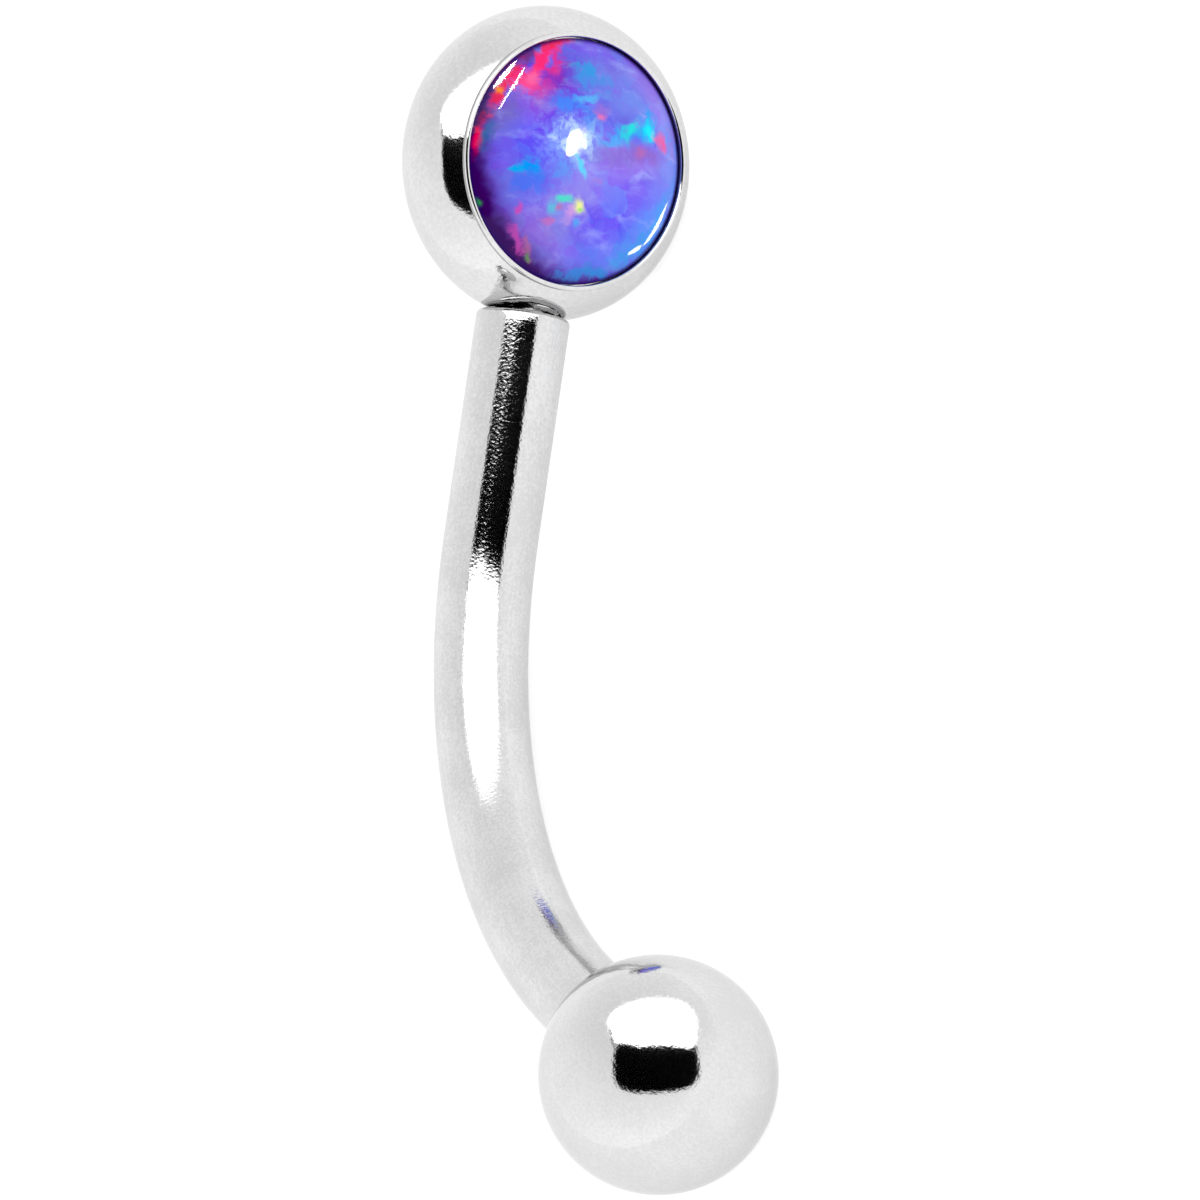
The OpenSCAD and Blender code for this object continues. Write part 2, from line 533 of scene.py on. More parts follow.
@dataclass
class OpalEnd:
    """The lentil-shaped setting, and the domed stone that its lip holds."""

    layout: Layout
    thread: Thread = THREAD
    radius: float = SETTING_R
    edge_r: float = 0.78 * MM
    back_turn: float = 55 * DEGREE
    lip_t: float = 0.07 * MM
    lip_height: float = 0.735 * MM
    cup_floor: float = 0.54 * MM
    stone_r: float = 1.555 * MM
    stone_gap: float = 0.012 * MM
    girdle: float = 0.11 * MM
    dome: float = 0.42 * MM
    base_bevel: float = 0.03 * MM
    rim_height: float = 0.02 * MM
    rim_share: float = 0.9985
    cup_ring: float = 0.5
    stone_ring: float = 0.97
    lip_steps: int = 14
    edge_steps: int = 56
    back_steps: int = 36
    back_end: float = 89 * DEGREE
    bevel_steps: int = 5
    dome_steps: int = 60
    dome_end: float = 89.5 * DEGREE
    outside: float = 0.5 * MM
    segments: int = 192

    @property
    def cup_r(self) -> float:
        """Radius of the cup that the stone sits in."""
        return self.stone_r + self.stone_gap

    @property
    def dome_r(self) -> float:
        """Radius of the stone's dome."""
        return (self.stone_r**2 + self.dome**2) / (2 * self.dome)

    @property
    def dome_middle(self) -> float:
        """Height of the middle of the sphere that the dome is cut from."""
        return self.cup_floor + self.stone_gap + self.girdle + self.dome - self.dome_r

    def setting_outline(self) -> Outline:
        """The setting's outline.

        Returns:
            Pairs of height and radius, from the cup's floor over the lip and round the edge to the back.
        """
        middle = self.radius - self.edge_r
        outer = self.cup_r + self.lip_t
        lip_turn = math.acos((outer - middle) / self.edge_r)
        lip_middle = (self.lip_height - self.lip_t / 2, self.cup_r + self.lip_t / 2)
        back_middle = (middle * math.tan(self.back_turn), 0.0)
        back_r = self.edge_r + middle / math.cos(self.back_turn)
        return [
            (self.cup_floor, self.cup_r),
            *arc(lip_middle, self.lip_t / 2, 180 * DEGREE, 0, self.lip_steps),
            *arc((0, middle), self.edge_r, lip_turn, -self.back_turn, self.edge_steps),
            *arc(back_middle, back_r, -self.back_turn, -self.back_end, self.back_steps)[1:],
        ]

    def drill(self) -> bpy.types.Object:
        """Model the shape of the threaded hole, with its sloped mouth carried on outside the metal.

        Returns:
            The shape, as a piece of its own.
        """
        points = self.thread.hole_outline(self.outside)
        body = Turned("drill", -self.outside, points[0][1], self.thread.segments)
        body.outline(points[1:])
        body.close_flat()
        piece = body.finish()
        place(piece, self.layout.opal_end)
        return piece

    def setting(self) -> bpy.types.Object:
        """Model the setting and drill its threaded hole.

        Returns:
            The setting.
        """
        body = Turned("round_setting", self.cup_floor, self.cup_r * self.cup_ring, self.segments)
        body.outline(self.setting_outline())
        body.close_round()
        piece = body.finish()
        place(piece, self.layout.setting)
        drill = self.drill()
        select_only(piece)
        cut = piece.modifiers.new("hole", "BOOLEAN")
        cut.operation = "DIFFERENCE"
        cut.solver = "EXACT"
        cut.object = drill
        bpy.ops.object.modifier_apply(modifier=cut.name)
        bpy.data.objects.remove(drill)
        smooth(piece)
        return piece

    def stone(self) -> bpy.types.Object:
        """Model the domed stone.

        Returns:
            The stone.
        """
        base = self.cup_floor + self.stone_gap
        top = base + self.girdle
        bevel = self.base_bevel
        rim = math.acos(self.stone_r / self.dome_r)
        body = Turned("domed_opal", base, self.stone_r * self.stone_ring, self.segments)
        body.outline(arc((base + bevel, self.stone_r - bevel), bevel, -90 * DEGREE, 0, self.bevel_steps))
        body.outline([(top - self.rim_height, self.stone_r), (top, self.stone_r * self.rim_share)])
        body.outline(arc((self.dome_middle, 0), self.dome_r, rim, self.dome_end, self.dome_steps)[1:])
        body.close_round()
        piece = body.finish()
        place(piece, self.layout.setting)
        smooth(piece, STONE_CREASE)
        return piece


@dataclass
class PlainBall:
    """The plain ball on the other post."""

    layout: Layout
    thread: Thread = THREAD
    radius: float = BALL_R
    hole_ring: float = 0.5
    steps: int = 110
    last_turn: float = 89.2 * DEGREE
    segments: int = 192

    def model(self) -> bpy.types.Object:
        """Model the ball from the bottom of its hole, out of the mouth and round to the far pole.

        Returns:
            The ball.
        """
        seat = math.sqrt(self.radius**2 - self.thread.mouth_r**2) + self.thread.seat_gap
        hole = self.thread.hole_outline(0.0)[1:]
        body = Turned("end_ball", hole[-1][0], self.thread.hole_r * self.hole_ring, self.segments)
        body.outline(reversed(hole))
        mouth = -math.acos(self.thread.mouth_r / self.radius)
        body.outline(arc((seat, 0), self.radius, mouth, self.last_turn, self.steps))
        body.close_round()
        piece = body.finish()
        place(piece, self.layout.ball_end)
        smooth(piece)
        return piece


class Sheet:
    """A node tree that is being filled in."""

    def __init__(self, tree: bpy.types.NodeTree) -> None:
        """Take up a node tree."""
        self.tree = tree
        self.count = 0

    @classmethod
    def of_material(cls, name: str) -> "Sheet":
        """Start an empty material.

        Args:
            name: the material's name.

        Returns:
            Its node tree, to be filled in.
        """
        material = bpy.data.materials.new(name)
        material.use_nodes = True
        material.node_tree.nodes.clear()
        return cls(material.node_tree)

    def add(self, kind: str, settings: dict | None = None, inputs: dict | None = None) -> bpy.types.Node:
        """Add a node.

        Args:
            kind: the node's type.
            settings: its properties by name.
            inputs: its inputs by name or number. A socket is linked, and any other value is set.

        Returns:
            The node.
        """
        node = self.tree.nodes.new(kind)
        node.location = (220 * (self.count % 12), -260 * (self.count // 12))
        self.count += 1
        for key, value in (settings or {}).items():
            setattr(node, key, value)
        for key, value in (inputs or {}).items():
            if isinstance(value, Socket):
                self.tree.links.new(value, node.inputs[key])
            else:
                node.inputs[key].default_value = value
        return node

    def math(self, operation: str, first: object, second: object = 0.5) -> Socket:
        """Add a math node and return what it puts out."""
        return self.add("ShaderNodeMath", {"operation": operation}, {0: first, 1: second}).outputs[0]

    def vector(self, operation: str, first: object, second: object = (0.0, 0.0, 0.0)) -> Socket:
        """Add a vector math node and return what it puts out."""
        node = self.add("ShaderNodeVectorMath", {"operation": operation}, {0: first, 1: second})
        return node.outputs["Value"] if operation in ("LENGTH", "DOT_PRODUCT") else node.outputs[0]

    def noise(
        self, spot: object, scale: object, detail: float = 2.0, roughness: float = 0.5
    ) -> bpy.types.Node:
        """Add a noise texture."""
        inputs = {"Vector": spot, "Scale": scale, "Detail": detail, "Roughness": roughness}
        return self.add("ShaderNodeTexNoise", None, inputs)

    def mix(self, share: object, first: object, second: object) -> Socket:
        """Mix two colours.

        Args:
            share: how much of the second colour is used.
            first: the first colour.
            second: the second colour.

        Returns:
            The mixed colour.
        """
        node = self.add("ShaderNodeMix", {"data_type": "RGBA", "clamp_factor": True})
        sockets = {socket.identifier: socket for socket in node.inputs}
        for name, value in (("Factor_Float", share), ("A_Color", first), ("B_Color", second)):
            if isinstance(value, Socket):
                self.tree.links.new(value, sockets[name])
            else:
                sockets[name].default_value = value
        return next(socket for socket in node.outputs if socket.identifier == "Result_Color")

    def spread(self, value: object, low: object, high: object, top: float = 1.0) -> Socket:
        """Map a value smoothly so that low gives 0 and high gives the top, and return it."""
        inputs = {0: value, 1: low, 2: high, 3: 0.0, 4: top}
        return self.add("ShaderNodeMapRange", {"interpolation_type": "SMOOTHSTEP"}, inputs).outputs[0]

    def bump(self, height: Socket, relief: float) -> Socket:
        """Add a bump as deep as the relief and return its normal."""
        inputs = {"Strength": 1.0, "Distance": relief, "Height": height}
        return self.add("ShaderNodeBump", None, inputs).outputs[0]

    def surface(self, kind: str, inputs: dict) -> None:
        """Add a shader as the material's surface."""
        shader = self.add(kind, None, inputs)
        self.add("ShaderNodeOutputMaterial", None, {"Surface": shader.outputs[0]})

    def seen_from(self, where: Matrix, scale: float = 1.0) -> Socket:
        """The object's coordinates, as a place in its frame has them.

        Args:
            where: the place.
            scale: the length that counts as 1.

        Returns:
            The coordinates.
        """
        spot = self.add("ShaderNodeTexCoord").outputs["Object"]
        node = self.add("ShaderNodeMapping", {"vector_type": "TEXTURE"}, {"Vector": spot})
        node.inputs["Location"].default_value = where.translation
        node.inputs["Rotation"].default_value = where.to_euler()
        node.inputs["Scale"].default_value = (scale, scale, scale)
        return node.outputs[0]


def polish_group() -> bpy.types.ShaderNodeTree:
    """The marks that polishing leaves on steel, shared by every steel finish.

    Returns:
        A group that takes a place and the marks' sizes, and puts out a height, a roughness and a shade
        that vary over the surface.
    """
    tree = bpy.data.node_groups.new("polish marks", "ShaderNodeTree")
    face = tree.interface
    face.new_socket("Place", in_out="INPUT", socket_type="NodeSocketVector")
    for name in ("Line Scale", "Line Share", "Grain Scale", "Low Roughness", "High Roughness"):
        face.new_socket(name, in_out="INPUT", socket_type="NodeSocketFloat")
    for name in ("Height", "Roughness", "Shade"):
        face.new_socket(name, in_out="OUTPUT", socket_type="NodeSocketFloat")
    sheet = Sheet(tree)
    given = sheet.add("NodeGroupInput").outputs
    drawn_out = sheet.vector("MULTIPLY", given["Place"], (1.0, 1.0, 0.1))
    lines = sheet.noise(drawn_out, given["Line Scale"], 3.0, 0.6).outputs[0]
    grain = sheet.noise(given["Place"], given["Grain Scale"]).outputs[0]
    patches = sheet.noise(given["Place"], PATCH_SCALE, 4.0, 0.6).outputs[0]
    sides = {0: given["Line Share"], 2: grain, 3: lines}
    height = sheet.add("ShaderNodeMix", {"data_type": "FLOAT"}, sides).outputs[0]
    ends = {0: patches, 1: 0.3, 2: 0.7, 3: given["Low Roughness"], 4: given["High Roughness"]}
    rough = sheet.add("ShaderNodeMapRange", None, ends).outputs[0]
    worn = sheet.math("MULTIPLY", lines, 0.2)
    for part in (grain, patches):
        worn = sheet.math("ADD", worn, sheet.math("MULTIPLY", part, 0.4))
    shade = sheet.spread(worn, 0.4, 0.62)
    sheet.add("NodeGroupOutput", None, {"Height": height, "Roughness": rough, "Shade": shade})
    return tree


class Coordinates(Enum):
    """Where a finish's pattern takes its place from."""

    OBJECT = "object"
    UNBENT = "unbent"


@dataclass(frozen=True)
class Steel:
    """A polished steel finish, whose tone and smudges are grey levels from 0 to 255."""

    name: str
    slot: str
    tone: int
    smudge: int
    line_share: float
    grain_scale: float
    low_roughness: float
    high_roughness: float
    relief: float
    coordinates: Coordinates = Coordinates.OBJECT
    line_scale: float = 30000.0
    edge_tint: float = 0.85

    def material(self, marks: bpy.types.ShaderNodeTree) -> bpy.types.Material:
        """Make the material.

        Args:
            marks: the group of polishing marks.

        Returns:
            The finished material.
        """
        sheet = Sheet.of_material(self.name)
        if self.coordinates is Coordinates.UNBENT:
            spot = sheet.add("ShaderNodeAttribute", {"attribute_name": UNBENT}).outputs["Vector"]
        else:
            spot = sheet.add("ShaderNodeTexCoord").outputs["Object"]
        settings = {
            "Place": spot,
            "Line Share": self.line_share,
            "Line Scale": self.line_scale,
            "Grain Scale": self.grain_scale,
            "Low Roughness": self.low_roughness,
            "High Roughness": self.high_roughness,
        }
        worn = sheet.add("ShaderNodeGroup", {"node_tree": marks}, settings).outputs
        colour = sheet.mix(worn["Shade"], linear(*(self.smudge,) * 3), linear(*(self.tone,) * 3))
        inputs = {
            "Base Color": colour,
            "Metallic": 1.0,
            "Roughness": worn["Roughness"],
            "Specular Tint": (*(self.edge_tint,) * 3, 1.0),
            "Normal": sheet.bump(worn["Height"], self.relief),
        }
        sheet.surface("ShaderNodeBsdfPrincipled", inputs)
        return bpy.data.materials[self.name]


BALL_STEEL = Steel(
    name="polished ball steel",
    slot="polished_steel",
    tone=204,
    smudge=195,
    line_share=0.1,
    grain_scale=24000.0,
    low_roughness=0.05,
    high_roughness=0.08,
    relief=0.0013 * MM,
)
SETTING_STEEL = Steel(
    name="polished setting steel",
    slot="polished_steel",
    tone=206,
    smudge=196,
    line_share=0.2,
    grain_scale=20000.0,
    low_roughness=0.05,
    high_roughness=0.09,
    relief=0.0012 * MM,
)
BAR_STEEL = Steel(
    name="drawn bar steel",
    slot="bar_steel",
    tone=206,
    smudge=192,
    line_share=0.25,
    grain_scale=26000.0,
    low_roughness=0.05,
    high_roughness=0.08,
    relief=0.0026 * MM,
    coordinates=Coordinates.UNBENT,
)


@dataclass(frozen=True)
class Flash:
    """One patch of colour in the opal, placed on its face.

    Right, up and the two reaches are in radii of the stone. The long reach is turned from the right towards
    up by an angle in degrees. A cloud is soft all over, and a flash has a crisp edge that the grain breaks
    up. A few of the patches are painted highlight round the stone's star glint, not colour of the stone.
    """

    right: float
    up: float
    long_reach: float
    short_reach: float
    turn: float
    colour: ScreenColour
    strength: float = 1.0
    grain: float = 0.5
    crisp: float = 0.6


def cloud(
    right: float, up: float, long_reach: float, short_reach: float, turn: float, colour: ScreenColour
) -> Flash:
    """A soft patch of the stone's body."""
    return Flash(right, up, long_reach, short_reach, turn, colour, 0.9, 0.1, 0.0)


CLOUDS = (
    cloud(-0.58, 0.08, 0.40, 0.30, 90, (98, 80, 238)),
    cloud(-0.42, 0.06, 0.26, 0.20, 60, (86, 92, 250)),
    cloud(-0.40, 0.32, 0.26, 0.18, 40, (116, 58, 234)),
    cloud(-0.46, 0.48, 0.30, 0.14, 35, (150, 46, 196)),
    cloud(-0.30, 0.66, 0.28, 0.14, 70, (104, 52, 200)),
    cloud(-0.10, 0.80, 0.18, 0.20, 0, (92, 92, 226)),
    cloud(0.14, 0.74, 0.30, 0.20, 10, (122, 124, 218)),
    cloud(0.38, 0.54, 0.36, 0.20, 10, (116, 142, 232)),
    cloud(0.10, 0.94, 0.45, 0.12, 0, (122, 106, 236)),
    cloud(0.62, 0.72, 0.28, 0.16, -42, (152, 128, 228)),
    cloud(0.80, 0.48, 0.18, 0.20, -60, (158, 148, 242)),
    cloud(0.92, 0.10, 0.40, 0.16, 88, (96, 164, 250)),
    cloud(0.86, -0.20, 0.34, 0.16, 78, (88, 164, 248)),
    cloud(0.52, 0.08, 0.44, 0.16, 8, (162, 130, 226)),
    cloud(0.22, 0.08, 0.26, 0.16, 0, (158, 126, 226)),
    cloud(0.58, -0.20, 0.40, 0.18, 8, (126, 114, 240)),
    cloud(0.36, -0.42, 0.36, 0.24, 15, (94, 84, 244)),
    cloud(0.74, -0.44, 0.30, 0.18, 55, (92, 150, 248)),
    cloud(0.48, -0.70, 0.40, 0.14, 38, (84, 146, 242)),
    cloud(0.16, -0.80, 0.36, 0.14, 10, (88, 124, 236)),
    cloud(-0.04, -0.18, 0.34, 0.18, 0, (152, 134, 240)),
    cloud(-0.10, -0.74, 0.20, 0.20, 0, (130, 114, 224)),
    cloud(-0.30, -0.62, 0.32, 0.18, 42, (142, 122, 204)),
    cloud(-0.50, -0.56, 0.24, 0.14, 42, (136, 100, 196)),
    cloud(-0.66, -0.32, 0.24, 0.20, 40, (112, 88, 204)),
    cloud(-0.34, -0.34, 0.26, 0.14, 40, (118, 92, 228)),
    cloud(-0.78, 0.22, 0.26, 0.14, 80, (108, 92, 192)),
)

FLASHES_AND_PAINTED_GLOW = (
    # Painted highlight: these four patches paint a pale blue glow, a near-white core and two thin rays
    # round the star glint.
    Flash(-0.15, 0.14, 0.28, 0.22, 10, (140, 184, 255), 0.75, 0.5, 0.0),
    Flash(-0.14, 0.14, 0.13, 0.15, 0, (206, 232, 255), 0.9, 0.9, 0.2),
    Flash(-0.24, 0.12, 0.14, 0.03, 0, (190, 214, 255), 0.8, 0.8, 0.5),
    Flash(-0.04, 0.26, 0.12, 0.03, 50, (190, 226, 255), 0.8, 0.8, 0.5),
    Flash(-0.14, -0.36, 0.26, 0.20, 40, (150, 142, 236), 0.8, 0.5, 0.0),
    Flash(-0.40, 0.62, 0.24, 0.10, 50, (152, 44, 180), 0.8, 0.5),
    Flash(-0.60, 0.74, 0.12, 0.06, 45, (120, 40, 110), 0.8, 0.5),
    Flash(-0.47, 0.74, 0.30, 0.055, 50, (255, 54, 124), 1.0, 0.4, 0.8),
    Flash(-0.30, 0.95, 0.17, 0.05, 35, (255, 50, 92), 1.0, 0.3, 0.8),
    Flash(-0.36, 0.73, 0.10, 0.05, 60, (232, 52, 140), 0.85, 0.5),
    Flash(-0.57, 0.55, 0.13, 0.10, 70, (255, 76, 146), 1.0, 0.3, 0.8),
    Flash(-0.55, 0.58, 0.06, 0.05, 60, (255, 110, 170), 0.8, 0.3),
    Flash(-0.67, 0.56, 0.11, 0.045, 60, (248, 34, 112), 0.95, 0.4),
    Flash(-0.48, 0.48, 0.12, 0.07, 50, (214, 60, 164), 0.75, 0.5),
    Flash(-0.77, 0.48, 0.24, 0.05, 62, (246, 40, 82), 0.95, 0.4),
    Flash(-0.83, 0.41, 0.05, 0.035, 60, (255, 150, 40), 0.95, 0.1),
    Flash(-0.86, 0.35, 0.06, 0.04, 70, (230, 30, 90), 0.9, 0.2),
    Flash(-0.95, 0.05, 0.15, 0.045, 86, (250, 14, 84), 0.98, 0.3),
    Flash(-0.87, 0.07, 0.12, 0.07, 85, (34, 100, 160), 0.8, 0.4),
    Flash(-0.74, 0.26, 0.16, 0.05, 75, (112, 96, 190), 0.6, 0.5),
    Flash(-0.28, 0.42, 0.17, 0.09, 0, (66, 136, 250), 0.85),
    Flash(-0.05, 0.66, 0.20, 0.10, 10, (74, 146, 232), 0.85),
    Flash(-0.10, 0.72, 0.12, 0.05, 0, (54, 156, 226), 0.8),
    Flash(-0.06, 0.50, 0.16, 0.035, 15, (92, 186, 248), 0.9, 0.3),
    Flash(0.00, 0.36, 0.16, 0.10, 30, (72, 140, 244), 0.75),
    Flash(0.06, 0.40, 0.10, 0.09, 40, (156, 106, 214), 0.8, 0.4),
    Flash(0.06, 0.36, 0.06, 0.035, 20, (232, 116, 182), 0.9, 0.3),
    Flash(0.42, 0.28, 0.32, 0.08, 12, (62, 152, 248), 0.9, 0.5),
    Flash(0.20, 0.19, 0.16, 0.04, 12, (84, 176, 250), 0.85, 0.5),
    Flash(0.36, 0.31, 0.11, 0.06, 30, (40, 226, 220), 0.95, 0.4, 0.4),
    Flash(0.56, 0.42, 0.10, 0.14, 0, (44, 158, 242), 0.9, 0.5),
    Flash(0.57, 0.35, 0.07, 0.10, 5, (20, 236, 252), 0.98, 0.3, 0.5),
    Flash(0.72, 0.32, 0.09, 0.06, -5, (226, 108, 178), 0.9, 0.5),
    Flash(0.76, 0.29, 0.05, 0.045, 10, (246, 92, 150), 0.95, 0.3),
    Flash(0.48, 0.14, 0.30, 0.09, 8, (142, 104, 206), 0.85, 0.4),
    Flash(0.50, 0.16, 0.06, 0.05, 10, (186, 104, 172), 0.7, 0.3),
    Flash(0.20, 0.06, 0.22, 0.10, 0, (132, 112, 214), 0.6, 0.4),
    Flash(-0.53, -0.16, 0.11, 0.08, 15, (10, 160, 248), 0.95, 0.4, 0.4),
    Flash(-0.62, -0.19, 0.06, 0.035, 10, (20, 176, 240), 0.9, 0.3),
    Flash(-0.48, -0.26, 0.20, 0.09, 20, (74, 118, 242), 0.8, 0.5),
    Flash(-0.24, -0.12, 0.12, 0.10, 60, (92, 150, 244), 0.7, 0.6),
    # Painted highlight: the pale cyan tail that runs down from the star glint.
    Flash(-0.08, -0.05, 0.13, 0.03, 125, (96, 216, 248), 0.95, 0.1),
    Flash(-0.18, -0.33, 0.08, 0.035, 10, (74, 226, 196), 0.95, 0.3, 0.3),
    Flash(-0.25, -0.42, 0.07, 0.06, 60, (88, 190, 220), 0.85, 0.4, 0.3),
    Flash(-0.20, -0.40, 0.035, 0.035, 0, (190, 110, 170), 0.8, 0.3),
    Flash(-0.04, -0.37, 0.06, 0.06, 30, (240, 246, 140), 0.98, 0.2, 0.3),
    Flash(-0.02, -0.395, 0.03, 0.015, 0, (150, 226, 120), 0.9, 0.1),
    Flash(-0.11, -0.45, 0.07, 0.05, 100, (214, 158, 226), 0.85, 0.4, 0.3),
    Flash(-0.02, -0.51, 0.03, 0.03, 90, (76, 170, 244), 0.9, 0.3),
    Flash(-0.27, -0.53, 0.06, 0.04, 30, (196, 108, 182), 0.8, 0.4),
    Flash(-0.53, -0.52, 0.035, 0.07, 10, (206, 70, 176), 0.85, 0.4),
    Flash(-0.46, -0.76, 0.15, 0.05, 130, (190, 74, 172), 0.85, 0.5),
    Flash(-0.36, -0.80, 0.10, 0.04, 120, (176, 100, 150), 0.7, 0.4),
    Flash(-0.33, -0.87, 0.035, 0.025, 120, (96, 140, 84), 0.8, 0.2),
    Flash(-0.85, -0.50, 0.05, 0.02, 120, (54, 196, 60), 0.95, 0.1),
    Flash(0.12, -0.15, 0.05, 0.03, 20, (164, 128, 226), 0.7, 0.5),
    Flash(0.62, -0.62, 0.34, 0.08, 42, (70, 152, 234), 0.85, 0.5),
    Flash(0.24, -0.88, 0.34, 0.06, 14, (52, 136, 216), 0.85, 0.5),
    Flash(0.86, -0.28, 0.06, 0.20, -15, (72, 160, 244), 0.85, 0.4),
    Flash(0.88, 0.36, 0.06, 0.14, 5, (150, 132, 230), 0.8, 0.5),
)


def flash_group() -> bpy.types.ShaderNodeTree:
    """The mask of one patch of an opal: an oval, crisp or soft, that the stone's grain breaks up.

    Returns:
        A group that takes a place, the oval's sizes and the grain, and puts out the mask.
    """
    tree = bpy.data.node_groups.new("opal flash", "ShaderNodeTree")
    face = tree.interface
    for name in ("Place", "Centre", "Reach"):
        face.new_socket(name, in_out="INPUT", socket_type="NodeSocketVector")
    for name in ("Turn", "Grain", "Share", "Crisp", "Strength"):
        face.new_socket(name, in_out="INPUT", socket_type="NodeSocketFloat")
    face.new_socket("Mask", in_out="OUTPUT", socket_type="NodeSocketFloat")
    sheet = Sheet(tree)
    given = sheet.add("NodeGroupInput").outputs
    moved = sheet.vector("SUBTRACT", given["Place"], given["Centre"])
    about_z = {"rotation_type": "Z_AXIS", "invert": True}
    turned = sheet.add("ShaderNodeVectorRotate", about_z, {"Vector": moved, "Angle": given["Turn"]})
    far = sheet.vector("LENGTH", sheet.vector("DIVIDE", turned.outputs[0], given["Reach"]))
    ragged = sheet.math("ADD", far, sheet.math("MULTIPLY", given["Grain"], given["Share"]))
    crisp = sheet.spread(ragged, 1.35, 0.4)
    soft = sheet.spread(ragged, 1.7, 0.0)
    oval = sheet.add("ShaderNodeMix", {"data_type": "FLOAT"}, {0: given["Crisp"], 2: soft, 3: crisp})
    mask = sheet.math("MULTIPLY", oval.outputs[0], given["Strength"])
    sheet.add("NodeGroupOutput", None, {"Mask": mask})
    return tree


@dataclass(frozen=True)
class OpalFinish:
    """The violet and blue opal, with its flashes, painted highlight round its glint and painted shade at
    its rim.
    """

    layout: Layout
    radius: float
    name: str = "violet opal"
    slot: str = "opal"
    lit_by: float = 1.3
    relief: float = 0.0006 * MM
    raggedness: float = 2.0
    saturation: float = 1.02
    brightness: float = 1.05
    roughness: float = 0.04
    refraction: float = 1.45
    shine: float = 0.1

    def warped(self, sheet: Sheet, spot: Socket, scale: float, reach: float) -> Socket:
        """Push a place about, so that what is drawn by it gets ragged edges.

        Args:
            sheet: the material's nodes.
            spot: the place.
            scale: how fine the pushes are.
            reach: how far they go.

        Returns:
            The pushed place.
        """
        noise = sheet.noise(spot, scale).outputs["Color"]
        push = sheet.vector("SUBTRACT", noise, (0.5, 0.5, 0.5))
        return sheet.vector("ADD", spot, sheet.vector("MULTIPLY", push, (reach, reach, 0.0)))

    def body_colour(self, sheet: Sheet, spot: Socket) -> Socket:
        """The cloudy violet and blue of the stone's body.

        Args:
            sheet: the material's nodes.
            spot: the place on the stone's face.

        Returns:
            The colour.
        """
        wisps = sheet.noise(spot, 4.0, 5.0, 0.6).outputs[0]
        lit = sheet.mix(sheet.spread(wisps, 0.45, 0.65), linear(96, 76, 232), linear(124, 122, 244))
        return sheet.mix(sheet.spread(wisps, 0.5, 0.3), lit, linear(84, 50, 206))

    def facets(self, sheet: Sheet, spot: Socket, colour: Socket) -> Socket:
        """Break a colour up into facets and veils, as an opal does.

        Args:
            sheet: the material's nodes.
            spot: the place on the stone's face.
            colour: the colour.

        Returns:
            The broken colour.
        """
        for scale, reach in ((3.6, 0.28), (8.0, 0.22)):
            cells = sheet.add("ShaderNodeTexVoronoi", None, {"Vector": spot, "Scale": scale}).outputs
            parts = sheet.add("ShaderNodeSeparateColor", None, {0: cells["Color"]}).outputs
            tint = sheet.mix(parts[0], linear(150, 76, 244), linear(104, 164, 255))
            colour = sheet.mix(sheet.math("MULTIPLY", parts[1], reach), colour, tint)
        stretched = sheet.vector("MULTIPLY", spot, (1.0, 2.6, 1.0))
        veil = sheet.spread(sheet.noise(stretched, 2.6, 4.0, 0.55).outputs[0], 0.5, 0.8, 0.6)
        return sheet.mix(veil, colour, linear(178, 192, 255))

    def painted_rim_shade(self, sheet: Sheet, spot: Socket, colour: Socket) -> Socket:
        """Paint shade along the lower left of the rim, as a dark purple band over the stone's colour.

        Args:
            sheet: the material's nodes.
            spot: the place on the stone's face.
            colour: the colour under the painted shade.

        Returns:
            The colour with the painted shade.
        """
        # Painted shade: a wide dark purple band and a near-black one darken the lower left of the rim.
        off_middle = sheet.vector("LENGTH", sheet.vector("SUBTRACT", spot, (0.14, 0.1, 0.0)))
        colour = sheet.mix(sheet.spread(off_middle, 0.88, 1.04, 0.6), colour, linear(92, 36, 158))
        return sheet.mix(sheet.spread(off_middle, 0.97, 1.12, 0.98), colour, linear(52, 0, 88))

    def material(self) -> bpy.types.Material:
        """Make the material.

        Returns:
            The finished material.
        """
        sheet = Sheet.of_material(self.name)
        seen = sheet.seen_from(self.layout.face, self.radius)
        place_on_face = sheet.vector("MULTIPLY", seen, (1.0, 1.0, 0.0))
        ragged = self.warped(sheet, self.warped(sheet, place_on_face, 3.0, 0.14), 12.0, 0.07)
        flecks = sheet.noise(ragged, 11.0, 5.0, 0.65).outputs[0]
        grain = sheet.math("SUBTRACT", sheet.spread(flecks, 0.3, 0.7), 0.4)
        group = flash_group()
        colour = self.body_colour(sheet, ragged)
        # A few of the patches are painted highlight round the star glint.
        for number, flash in enumerate((*CLOUDS, *FLASHES_AND_PAINTED_GLOW)):
            if number == len(CLOUDS):
                # The painted shade along the lower left of the rim goes under the flashes.
                colour = self.painted_rim_shade(sheet, ragged, self.facets(sheet, ragged, colour))
            settings = {
                "Place": ragged,
                "Grain": grain,
                "Centre": (flash.right, flash.up, 0.0),
                "Reach": (flash.long_reach, flash.short_reach, 1.0),
                "Turn": flash.turn * DEGREE,
                "Share": self.raggedness * flash.grain,
                "Crisp": flash.crisp,
                "Strength": flash.strength,
            }
            mask = sheet.add("ShaderNodeGroup", {"node_tree": group}, settings).outputs["Mask"]
            colour = sheet.mix(mask, colour, linear(*flash.colour))
